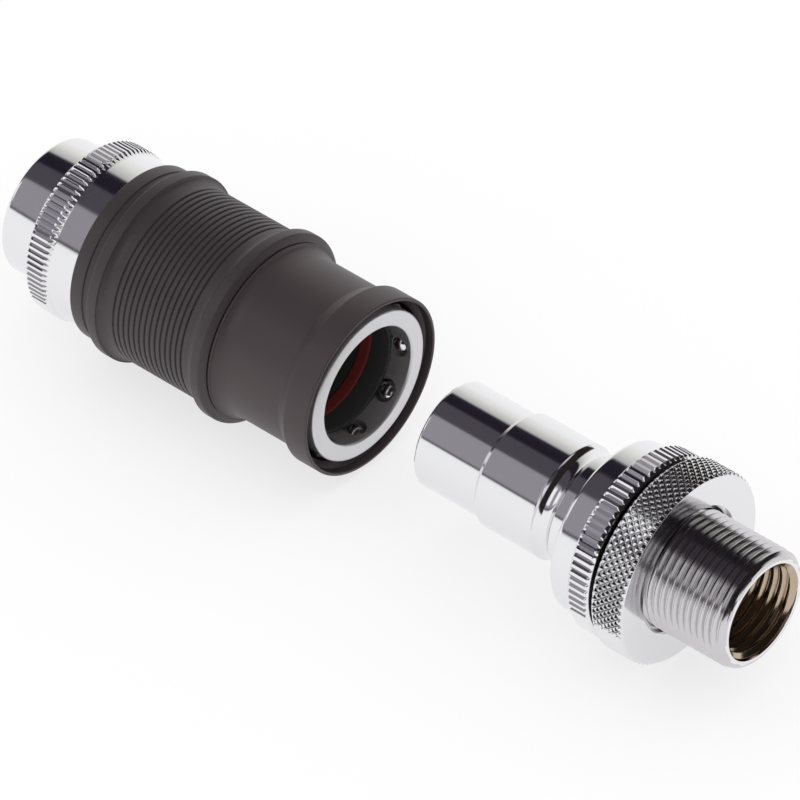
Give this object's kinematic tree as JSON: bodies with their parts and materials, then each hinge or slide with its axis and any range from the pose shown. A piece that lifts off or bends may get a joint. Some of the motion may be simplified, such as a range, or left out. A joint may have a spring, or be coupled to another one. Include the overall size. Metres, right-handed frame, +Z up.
{
  "type": "liquid cooling quick coupling",
  "caption": "Ball-lock quick coupling for liquid cooling: a black-sleeved socket half and a chrome panel-mount plug half with a knurled ring nut, shown apart on one axis.",
  "frame": {"origin": "on the axis, at the panel face of the plug's knurled flange", "axes": "+X along the common axis towards the plug's threaded tail, +Z up"},
  "size_m": [0.1166, 0.0262, 0.0264],
  "materials": {
    "polished_chrome": "polished",
    "knurled_chrome": "knurled, polished",
    "satin_nickel": "satin",
    "bright_brass": "nickel-plated, turned",
    "dark_plastic": "smooth, low gloss",
    "matte_black_sleeve": "matte black coating, fine grain",
    "matte_black_grip": "matte black coating, ribbed",
    "black_seal": "moulded",
    "red_seal": "moulded",
    "ball_steel": "ground",
    "spring_steel": "drawn wire"
  },
  "bodies": {
    "plug": {"plug_body": "polished_chrome", "plug_nose": "polished_chrome", "plug_body_seal": "black_seal", "spring_seat": "bright_brass", "plug_spring": "spring_steel"},
    "plug_valve": {"plug_poppet": "bright_brass", "poppet_seal": "black_seal"},
    "gasket": {"nut_gasket": "black_seal"},
    "nut": {"ring_nut": "knurled_chrome"},
    "socket": {"port_adapter": "polished_chrome", "ball_cage": "satin_nickel", "body_seal": "black_seal", "valve_stem": "bright_brass", "stem_seal": "black_seal", "sleeve_spring": "spring_steel", "valve_spring": "spring_steel"},
    "sleeve": {"release_sleeve": "matte_black_sleeve", "sleeve_grip": "matte_black_grip"},
    "socket_valve": {"valve_sleeve": "dark_plastic", "nose_seal": "red_seal"},
    "ball_1": {"ball_1": "ball_steel"},
    "ball_2": {"ball_2": "ball_steel"},
    "ball_3": {"ball_3": "ball_steel"},
    "ball_4": {"ball_4": "ball_steel"},
    "ball_5": {"ball_5": "ball_steel"},
    "ball_6": {"ball_6": "ball_steel"},
    "ball_7": {"ball_7": "ball_steel"},
    "ball_8": {"ball_8": "ball_steel"}
  },
  "joints": [
    {"name": "mate_slide", "type": "slide", "parent": "plug", "child": "socket", "axis": [1, 0, 0], "range_m": [0, 0.0366]},
    {"name": "sleeve_slide", "type": "slide", "parent": "socket", "child": "sleeve", "axis": [-1, 0, 0], "range_m": [0, 0.0024], "stiffness_N_per_m": 1500, "springref_m": -0.002, "deforming": ["sleeve_spring"]},
    {"name": "valve_slide", "type": "slide", "parent": "socket", "child": "socket_valve", "axis": [-1, 0, 0], "range_m": [0, 0.01025], "deforming": ["valve_spring"]},
    {"name": "plug_valve_slide", "type": "slide", "parent": "plug", "child": "plug_valve", "axis": [1, 0, 0], "range_m": [0, 0.01005], "deforming": ["plug_spring"]},
    {"name": "nut_travel", "type": "slide", "parent": "plug", "child": "gasket", "axis": [1, 0, 0], "range_m": [0, 0.008]},
    {"name": "nut_spin", "type": "hinge", "parent": "gasket", "child": "nut", "pos_m": [0.0033, 0, 0], "axis": [1, 0, 0], "range_deg": [0, 2880]},
    {"name": "ball_1_slide", "type": "slide", "parent": "socket", "child": "ball_1", "axis": [0, 0, 1], "range_m": [0, 0.0002]},
    {"name": "ball_2_slide", "type": "slide", "parent": "socket", "child": "ball_2", "axis": [0, -0.7071, 0.7071], "range_m": [0, 0.0002]},
    {"name": "ball_3_slide", "type": "slide", "parent": "socket", "child": "ball_3", "axis": [0, -1, 0], "range_m": [0, 0.0002]},
    {"name": "ball_4_slide", "type": "slide", "parent": "socket", "child": "ball_4", "axis": [0, -0.7071, -0.7071], "range_m": [0, 0.0002]},
    {"name": "ball_5_slide", "type": "slide", "parent": "socket", "child": "ball_5", "axis": [0, 0, -1], "range_m": [0, 0.0002]},
    {"name": "ball_6_slide", "type": "slide", "parent": "socket", "child": "ball_6", "axis": [0, 0.7071, -0.7071], "range_m": [0, 0.0002]},
    {"name": "ball_7_slide", "type": "slide", "parent": "socket", "child": "ball_7", "axis": [0, 1, 0], "range_m": [0, 0.0002]},
    {"name": "ball_8_slide", "type": "slide", "parent": "socket", "child": "ball_8", "axis": [0, 0.7071, 0.7071], "range_m": [0, 0.0002]}
  ],
  "couplings": [
    {"joint": "valve_slide", "follows": "mate_slide", "ratio": 0.28005},
    {"joint": "plug_valve_slide", "follows": "mate_slide", "ratio": 0.27459},
    {"joint": "nut_travel", "follows": "nut_spin", "m_per_rad": 0.00015915},
    {"joint": "ball_1_slide", "follows": "sleeve_slide", "ratio": 0.08333},
    {"joint": "ball_2_slide", "follows": "sleeve_slide", "ratio": 0.08333},
    {"joint": "ball_3_slide", "follows": "sleeve_slide", "ratio": 0.08333},
    {"joint": "ball_4_slide", "follows": "sleeve_slide", "ratio": 0.08333},
    {"joint": "ball_5_slide", "follows": "sleeve_slide", "ratio": 0.08333},
    {"joint": "ball_6_slide", "follows": "sleeve_slide", "ratio": 0.08333},
    {"joint": "ball_7_slide", "follows": "sleeve_slide", "ratio": 0.08333},
    {"joint": "ball_8_slide", "follows": "sleeve_slide", "ratio": 0.08333}
  ]
}
